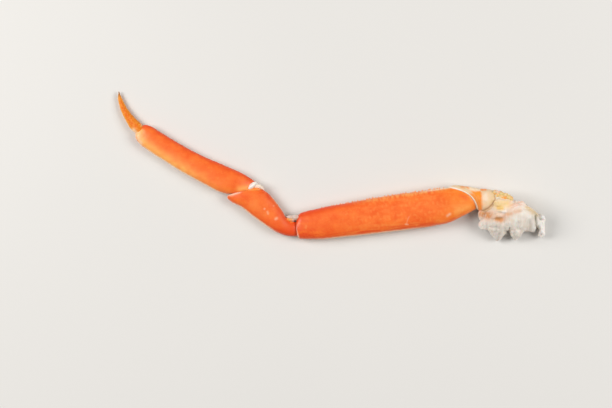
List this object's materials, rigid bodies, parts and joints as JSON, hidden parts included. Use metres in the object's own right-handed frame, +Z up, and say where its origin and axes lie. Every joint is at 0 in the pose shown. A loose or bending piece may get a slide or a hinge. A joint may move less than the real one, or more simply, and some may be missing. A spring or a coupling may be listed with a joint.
{
  "type": "snow crab leg",
  "caption": "Cooked snow crab walking leg in its shell, from the claw tip to the torn shoulder meat, laid flat on its side.",
  "frame": {"origin": "on the surface that the leg lies on, under the middle of its length and width", "axes": "+X along the leg's length, from the claw tip to the shoulder; +Y from the segments' lower margins to their upper margins; +Z up, out of the flat side that is shown"},
  "size_m": [0.2783, 0.0968, 0.0227],
  "materials": {
    "cooked_shell": "cooked crab shell, waxy satin, bright orange",
    "claw_amber": "horny claw, satin, amber",
    "cream_cuticle": "thin uncoloured cuticle, cream, soft sheen",
    "joint_membrane": "wet translucent joint skin, grey white",
    "shoulder_meat": "moist cooked crab meat with thin inner walls, ivory"
  },
  "bodies": {
    "root": {"dactyl": "claw_amber", "propodus": "cooked_shell", "elbow_hinge": "cream_cuticle", "carpus": "cooked_shell", "knee_membrane": "joint_membrane", "merus": "cooked_shell", "suture_band": "cream_cuticle", "ischium": "cooked_shell", "coxa": "cream_cuticle", "shoulder": "shoulder_meat"}
  },
  "joints": []
}
